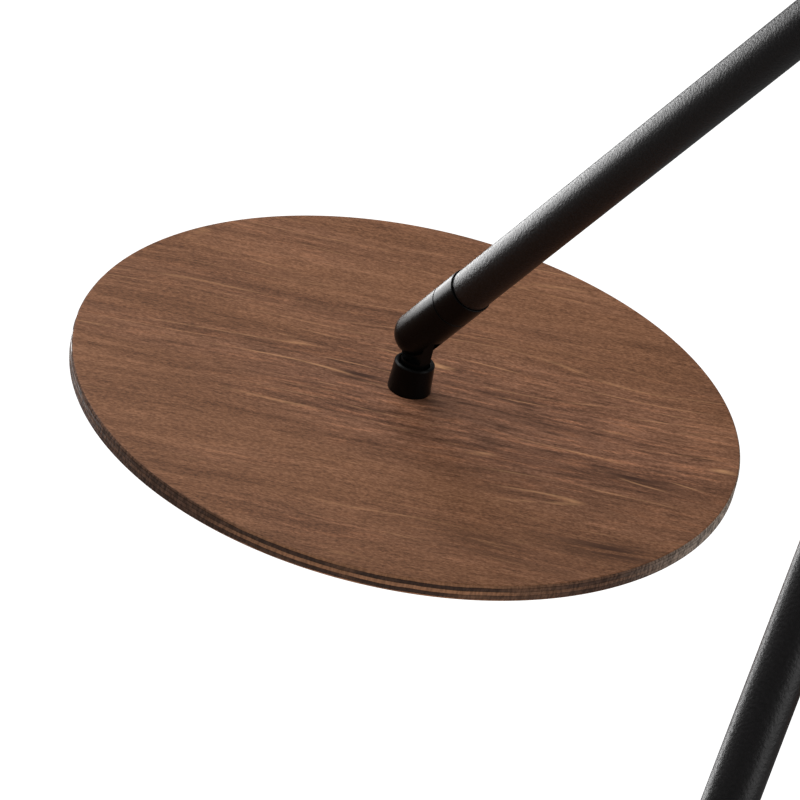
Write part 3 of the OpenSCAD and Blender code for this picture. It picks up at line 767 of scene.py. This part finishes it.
class BuildDiscs(Operator):
    """Turns the three plywood discs"""
    bl_idname = "ceiling_light.discs"
    bl_label = "Disc shades"

    def execute(self, context):
        sizes = context.scene.ceiling_light.disc
        mesh = grown(ring_tree(), bpy.data.meshes.new("start"), {
            "Outer diameter": sizes.diameter, "Inner diameter": sizes.hole, "Height": sizes.thickness,
            "Edge radius": sizes.edge, "Steps": DISC_STEPS,
            "Face material": finish("walnut_stained_veneer"), "Side material": finish("plywood_edge")})
        mesh = eased(mesh, 0)
        mesh.transform(Matrix.Translation((0, 0, -sizes.thickness / 2)))
        for k in ARMS:
            disc = place_piece(f"plywood_disc_{k}", mesh, disc_frame(k), f"shade_{k}", "walnut_ply", None,
                               f"disc_{k}")
            middle = disc_frame(k).translation
            ends = disc.data.attributes.new("end_grain", "FLOAT", "POINT")
            for vert, item in zip(disc.data.vertices, ends.data):
                out = vert.co - middle
                along = math.cos(math.atan2(out.y, out.x) - sizes.grain)
                item.value = along * abs(along)
        return {"FINISHED"}


class BuildArms(Operator):
    """Draws the three tubes and casts their sockets"""
    bl_idname = "ceiling_light.arms"
    bl_label = "Arms"

    def execute(self, context):
        sizes = context.scene.ceiling_light.arm
        coat = finish("powder_coat_black")
        tall = TUBE_HIGH.z - TUBE_LOW.z
        mesh = grown(bpy.data.node_groups["turned_ring"], bpy.data.meshes.new("start"), {
            "Outer diameter": sizes.diameter, "Inner diameter": sizes.diameter - 2 * sizes.wall,
            "Height": tall, "Edge radius": sizes.lip, "Steps": TUBE_STEPS, "Face material": coat,
            "Side material": coat})
        mesh = eased(mesh, 0)
        mesh.transform(Matrix.Translation((0, 0, TUBE_LOW.z + tall / 2)))
        for k in ARMS:
            place_piece(f"tube_{k}", mesh, arm_frame(k), "canopy", "powder_black", coat, f"arm_tube_{k}")
            dress(f"socket_{k}", f"arm_socket_{k}", 0.4, "canopy", "powder_black", "powder_coat_black")
        return {"FINISHED"}


class BuildKnuckles(Operator):
    """Turns the swivel sleeves and the domed forks below them"""
    bl_idname = "ceiling_light.knuckles"
    bl_label = "Knuckles"

    def execute(self, context):
        light = context.scene.ceiling_light
        sizes = light.knuckle
        paint = finish("satin_black_paint")
        radius, bore, spigot = sizes.diameter / 2, sizes.bore / 2, sizes.spigot / 2
        low, high, seam, slot = KNUCKLE_LOW.z, KNUCKLE_HIGH.z, sizes.seam, sizes.slot / 2
        beyond = 2 * radius

        # The fork is domed below and slotted for the stem's tongue
        dome = low + math.sqrt(radius ** 2 - slot ** 2)
        arc = [(radius * math.sin(t), dome - radius * math.cos(t))
               for t in (math.pi / 2 * i / DOME_STEPS for i in range(DOME_STEPS + 1))]
        top = rounded([(0, dome, 0), (radius, dome, 0), (radius, high, seam), (0, high, 0)])[2:]
        outside = turned(arc + [tuple(p) for p in top], light.steps)
        fork = eased(cut(outside, [
            block((-beyond, -slot, low - radius), (beyond, slot, sizes.slot_top)),
            rod(spigot + FIT, (0, 0, ADAPTER_LOW.z - GAP), (0, 0, high + radius), TUBE_STEPS),
            rod(bore, (0, 0, 0), (0, 0, high + radius), BORE_STEPS),
            rod(sizes.pin / 2 + FIT, (0, -beyond, 0), (0, PIN_HIGH.y + FIT, 0), BORE_STEPS)]),
            sizes.easing)

        # The sleeve has a spigot in the fork and a plug in the tube
        foot, start, lip, head = ADAPTER_LOW.z, high + GAP, TUBE_LOW.z, ADAPTER_HIGH.z
        plug = TUBE_R - light.arm.wall - FIT
        sleeve = spun([
            (bore, foot, 0), (spigot, foot, seam), (spigot, start, 0), (radius, start, seam),
            (radius, lip, seam), (plug, lip, 0), (plug, head, seam), (bore, head, 0)], light.steps)
        for k in ARMS:
            body = f"knuckle_{k}"
            place_piece(f"fork_{k}", fork, arm_frame(k), body, "satin_black", paint, f"knuckle_body_{k}")
            place_piece(f"sleeve_{k}", sleeve, arm_frame(k), "canopy", "satin_black", paint,
                        f"swivel_adapter_{k}")
            dress(f"pin_{k}", f"pivot_pin_{k}", 0.25, body, "satin_black", "satin_black_paint")
            dress(f"stop_{k}", f"stop_screw_{k}", 0.15, body, "satin_black", "satin_black_paint")
            dress(f"washers_{k}", f"friction_washers_{k}", 0.1, body, "grey_fibre", "vulcanised_fibre")
        return {"FINISHED"}


class BuildCups(Operator):
    """Turns the cups and mills the stems that stand in them"""
    bl_idname = "ceiling_light.cups"
    bl_label = "Stems and cups"

    def execute(self, context):
        sizes = context.scene.ceiling_light.cup
        paint = finish("satin_black_paint")
        rim, recess, hole = sizes.rim / 2, sizes.recess / 2, sizes.hole / 2
        tall, floor, bevel, soft = CUP_HIGH.z, sizes.floor, sizes.bevel, sizes.soft
        land = recess + (rim - bevel - recess) / 3
        mesh = spun([
            (hole, 0, 0), (CUP_R, 0, soft), (rim, tall - bevel, soft), (rim - bevel, tall, soft),
            (land, tall, soft), (land, tall - bevel, 0), (recess, tall - bevel, soft),
            (recess, floor, 0), (hole, floor, 0)], context.scene.ceiling_light.steps, 4)
        for k in ARMS:
            place_piece(f"turned_cup_{k}", mesh, disc_frame(k), f"shade_{k}", "satin_black", paint, f"cup_{k}")
            dress(f"milled_stem_{k}", f"stem_{k}", 0.25, f"shade_{k}", "satin_black", "satin_black_paint")
        return {"FINISHED"}


class BuildLamps(Operator):
    """Moulds the lampholders and the flat lamps under the discs"""
    bl_idname = "ceiling_light.lamps"
    bl_label = "Lamps"

    def execute(self, context):
        sizes = context.scene.ceiling_light.lamp
        steps = context.scene.ceiling_light.steps
        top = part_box("lampholder_1")[0].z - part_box("disc_1")[1].z - GAP
        foot, head, edge, boss = LAMP_LOW.z, LAMP_HIGH.z, sizes.edge, sizes.boss / 2
        seat, ledge, inner = LENS_R + FIT, LENS_R - sizes.wall, top - sizes.wall
        boss_edge, seat_edge = 0.6 * MM, 0.3 * MM
        housing = spun([
            (0, head, 0), (boss, head, boss_edge), (boss, top, 0), (LAMP_R, top, edge), (LAMP_R, foot, edge),
            (seat, foot, seat_edge), (seat, LENS_HIGH.z, 0), (ledge, LENS_HIGH.z, 0), (ledge, inner, 0),
            (0, inner, 0)], steps)
        lens = spun([
            (0, LENS_HIGH.z, 0), (LENS_R, LENS_HIGH.z, 0), (LENS_R, LENS_LOW.z, sizes.lens_edge),
            (0, LENS_LOW.z, 0)], steps)
        for k in ARMS:
            shade, lamp = f"shade_{k}", f"lamp_{k}"
            dress(f"holder_{k}", f"lampholder_{k}", 0.4, shade, "black_plastic", "black_phenolic")
            place_piece(f"housing_{k}", housing, disc_frame(k), lamp, "ivory_plastic",
                        finish("ivory_polycarbonate"), f"lamp_body_{k}")
            place_piece(f"opal_lens_{k}", lens, disc_frame(k), lamp, "opal_plastic",
                        finish("opal_polycarbonate"), f"lamp_lens_{k}")
            dress(f"contact_pins_{k}", f"lamp_pins_{k}", 0.3, lamp, "brass", "turned_brass")
            dress(f"flange_nut_{k}", f"under_nut_{k}", 0.3, shade, "zinc_steel", "zinc_plated_steel")
            dress(f"wood_screws_{k}", f"holder_screws_{k}", 0.15, shade, "zinc_steel", "zinc_plated_steel")
        return {"FINISHED"}


class BuildCanopy(Operator):
    """Spins the canopy and fits the bracket, the junction block and the leads inside it"""
    bl_idname = "ceiling_light.canopy"
    bl_label = "Canopy"

    def execute(self, context):
        for name, node, easing, slot, coat in (
                ("spun_canopy", "canopy_shell", 0.3, "powder_black", "powder_coat_black"),
                ("strip_bracket", "ceiling_bracket", 0.4, "zinc_steel", "zinc_plated_steel"),
                ("terminal_block", "junction_block", 0.5, "ivory_plastic", "ivory_polycarbonate"),
                ("clamp_screws", "terminal_screws", 0.15, "brass", "turned_brass"),
                ("grub_screws", "socket_grubs", 0.2, "satin_black", "satin_black_paint"),
                ("leads", "arm_leads", 0, "grey_sheath", "grey_sheath")):
            dress(name, node, easing, "canopy", slot, coat)
        return {"FINISHED"}


class BuildScrews(Operator):
    """Sets the pan-head screws of the canopy, the sockets, the block and the earth"""
    bl_idname = "ceiling_light.screws"
    bl_label = "Screws"

    def execute(self, context):
        sizes = context.scene.ceiling_light.screw
        tree = screw_tree()
        for name, node, axis, slot, coat in (
                ("side_screws", "canopy_screws", "out", "satin_black", "satin_black_paint"),
                ("arm_screws", "socket_screws", "up", "zinc_steel", "zinc_plated_steel"),
                ("centre_screw", "block_screw", "up", "zinc_steel", "zinc_plated_steel"),
                ("ground_screw", "earth_screw", "down", "brass", "turned_brass")):
            points, facings = [], []
            for middle, half in solids(node):
                facing = {"up": UP, "down": -UP, "out": Vector((0, math.copysign(1, middle.y), 0))}[axis]
                deep, wide = abs(facing.dot(half)), half.x
                points.append(middle + facing * (deep - sizes.head))
                facings.append(facing)
            start = bpy.data.meshes.new("start")
            start.from_pydata([tuple(p) for p in points], [], [])
            kept = start.attributes.new("facing", "FLOAT_VECTOR", "POINT")
            for item, facing in zip(kept.data, facings):
                item.vector = facing
            mesh = grown(tree, start, {
                "Head diameter": 2 * wide, "Head height": sizes.head, "Shank diameter": sizes.shank,
                "Shank length": 2 * deep - sizes.head, "Material": finish(coat)})
            place_piece(name, eased(mesh, sizes.easing), Matrix(), "canopy", slot, finish(coat), node)
        return {"FINISHED"}


class BuildStage(Operator):
    """Lays the pale floor, hangs the soft lights and sets the camera at the viewing angle"""
    bl_idname = "ceiling_light.stage"
    bl_label = "Stage"

    def execute(self, context):
        sizes = context.scene.ceiling_light.stage
        scene = context.scene
        target = disc_frame(1).translation
        self.lay_floor(sizes)
        self.light_room(scene, sizes)
        self.hang_lights(scene, sizes, target)
        self.set_camera(scene, target)
        scene.view_settings.view_transform = "Standard"
        return {"FINISHED"}

    def lay_floor(self, sizes):
        """A white floor far below that gives its own light, so that it shows no edge and no shadow."""
        side = sizes.floor_side / 2
        mesh = bpy.data.meshes.new("floor")
        mesh.from_pydata([(x, y, -sizes.floor_drop) for x, y in (
            (-side, -side), (side, -side), (side, side), (-side, side))], [], [(0, 1, 2, 3)])
        pale, _, shader, _ = material("pale_floor")
        for name, value in (("Base Color", (0.9, 0.9, 0.9, 1)), ("Emission Color", (1, 1, 1, 1)),
                            ("Emission Strength", 1.0)):
            shader.inputs[name].default_value = value
        pale.cycles.emission_sampling = "NONE"
        mesh.materials.append(pale)
        floor = shown(mesh, "floor")
        floor.visible_glossy = False

    def light_room(self, scene, sizes):
        """Even white light all round, which the camera sees as plain white."""
        world = bpy.data.worlds.new("room")
        scene.world = world
        world.use_nodes = True
        tree = world.node_tree
        tree.nodes.clear()
        even, plain = (add(tree, "ShaderNodeBackground", {"Color": (1, 1, 1, 1), "Strength": strength}).outputs[0]
                       for strength in (sizes.room, 1.0))
        seen = add(tree, "ShaderNodeLightPath").outputs["Is Camera Ray"]
        both = add(tree, "ShaderNodeMixShader", {0: seen, 1: even, 2: plain})
        add(tree, "ShaderNodeOutputWorld", {"Surface": both.outputs[0]})

    def hang_lights(self, scene, sizes, target):
        """Four soft lights that face the first disc: power, width, height and place from the disc's middle."""
        for name, watts, wide, tall, offset in (
                ("key", sizes.key, 1.6, 1.6, (1.9, 0.6, 1.1)),
                ("rim", sizes.rim, 2.0, 0.8, (2.15, -0.07, -0.66)),
                ("top", sizes.top, 1.6, 1.6, (0.8, 0.0, 1.25)),
                ("fill", sizes.fill, 1.4, 1.4, (-1.6, -0.6, 0.7))):
            lamp = bpy.data.lights.new(name, "AREA")
            lamp.shape, lamp.energy = "RECTANGLE", watts
            lamp.size, lamp.size_y = wide, tall
            made = bpy.data.objects.new(name, lamp)
            scene.collection.objects.link(made)
            made.location = target + Vector(offset)
            made.rotation_euler = (-Vector(offset)).to_track_quat("-Z", "Y").to_euler()
            made.visible_camera = False

    def set_camera(self, scene, target):
        """The camera, a little rolled, with the first disc's middle near the middle of the picture."""
        azimuth, rise, roll = math.radians(-135.25), math.radians(30.78), math.radians(12.89)
        away, left, down = 1.738, 3.96 * MM, 5.37 * MM
        back = Vector((math.sin(azimuth) * math.cos(rise), -math.cos(azimuth) * math.cos(rise),
                       math.sin(rise)))
        level = (-back).cross(UP).normalized()
        above = level.cross(-back)
        right = math.cos(roll) * level + math.sin(roll) * above
        top = math.cos(roll) * above - math.sin(roll) * level
        lens = bpy.data.cameras.new("camera")
        lens.sensor_width, lens.lens = 36.0, 177.42
        lens.clip_start, lens.clip_end = 0.05, 200.0
        camera = bpy.data.objects.new("camera", lens)
        scene.collection.objects.link(camera)
        camera.matrix_world = axes_at(target + back * away - right * left - top * down, right, top, back)
        scene.camera = camera


class LightPanel(Panel):
    """Lists the pieces of the ceiling light"""
    bl_idname = "VIEW3D_PT_ceiling_light"
    bl_label = "Ceiling light"
    bl_space_type = "VIEW_3D"
    bl_region_type = "UI"
    bl_category = "Ceiling light"

    def draw(self, context):
        for operator in OPERATORS:
            self.layout.operator(operator.bl_idname)


OPERATORS = (BuildDiscs, BuildArms, BuildKnuckles, BuildCups, BuildLamps, BuildCanopy, BuildScrews, BuildStage)
GROUPS = (DiscSizes, ArmSizes, KnuckleSizes, CupSizes, LampSizes, ScrewSizes, StageSizes, LightSizes)


def register():
    for kind in GROUPS + OPERATORS + (LightPanel,):
        bpy.utils.register_class(kind)
    bpy.types.Scene.ceiling_light = PointerProperty(type=LightSizes)


def unregister():
    del bpy.types.Scene.ceiling_light
    for kind in reversed(GROUPS + OPERATORS + (LightPanel,)):
        bpy.utils.unregister_class(kind)


def main():
    register()
    bpy.ops.ceiling_light.discs()
    bpy.ops.ceiling_light.arms()
    bpy.ops.ceiling_light.knuckles()
    bpy.ops.ceiling_light.cups()
    bpy.ops.ceiling_light.lamps()
    bpy.ops.ceiling_light.canopy()
    bpy.ops.ceiling_light.screws()
    bpy.ops.ceiling_light.stage()


if __name__ == "__main__":
    main()
